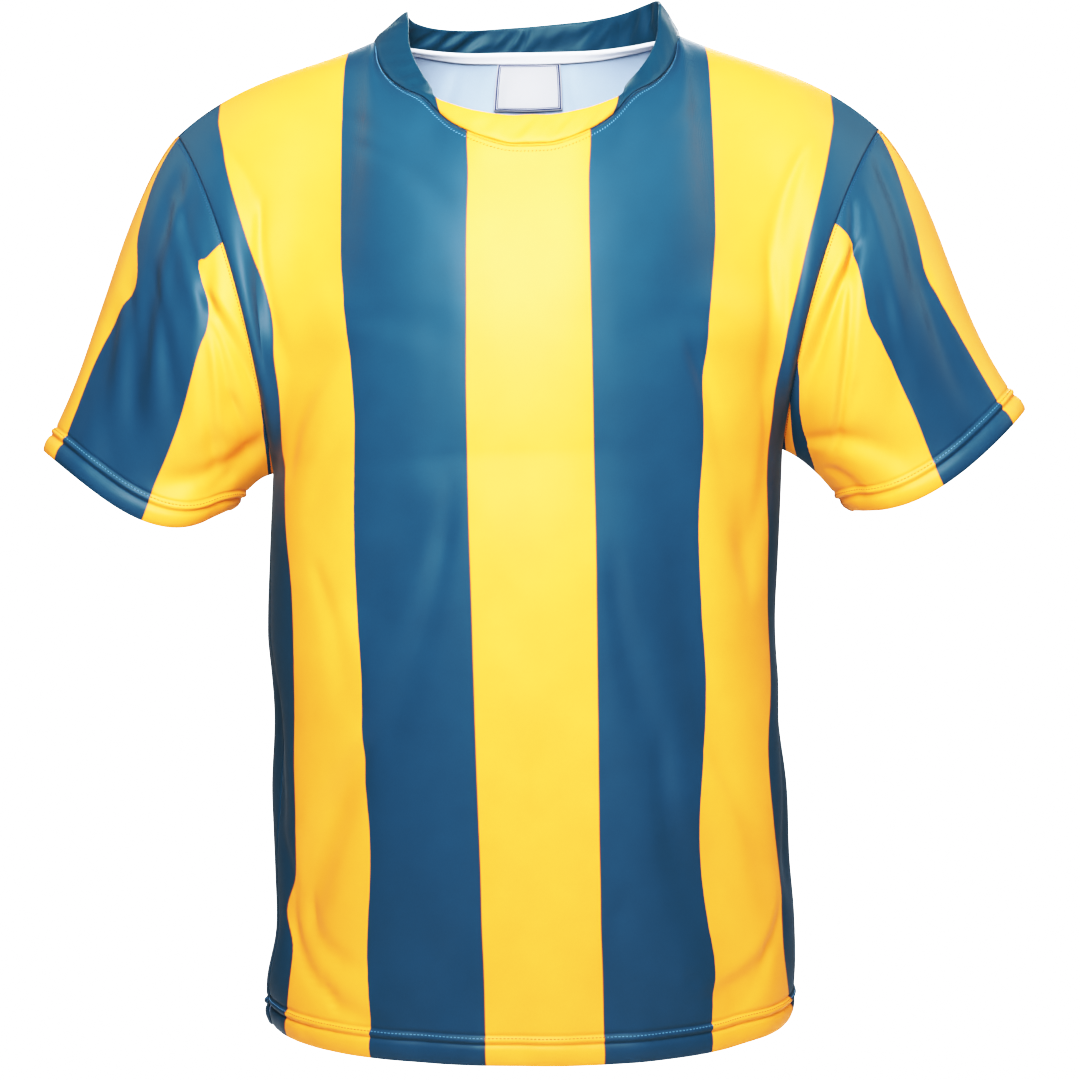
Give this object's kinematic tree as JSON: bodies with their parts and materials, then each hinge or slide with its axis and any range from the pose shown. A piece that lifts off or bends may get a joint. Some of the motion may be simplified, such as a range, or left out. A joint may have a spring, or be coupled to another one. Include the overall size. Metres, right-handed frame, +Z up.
{
  "type": "football shirt",
  "caption": "Short-sleeved football shirt in striped polyester knit with a neckband, in its hollow worn form; the wearer's shoulders hold it.",
  "frame": {"origin": "between the neck ends of the two shoulder seams, where a wearer's shoulders carry the shirt", "axes": "+Z up, -Y out of the shirt's front, +X towards the wearer's left sleeve"},
  "size_m": [0.7027, 0.2633, 0.7444],
  "materials": {
    "striped_knit": "smooth polyester knit with printed yellow and navy stripes and a soft sheen, white inside",
    "neckband_knit": "the same smooth polyester knit, folded double, navy with a yellow front",
    "white_tape": "matt white knitted tape",
    "woven_label": "off-white woven satin, blank, with two narrow navy borders"
  },
  "bodies": {
    "root": {"front": "striped_knit", "back": "striped_knit", "sleeve_left": "striped_knit", "sleeve_right": "striped_knit", "collar": "neckband_knit", "neck_tape": "white_tape", "label": "woven_label"}
  },
  "joints": []
}
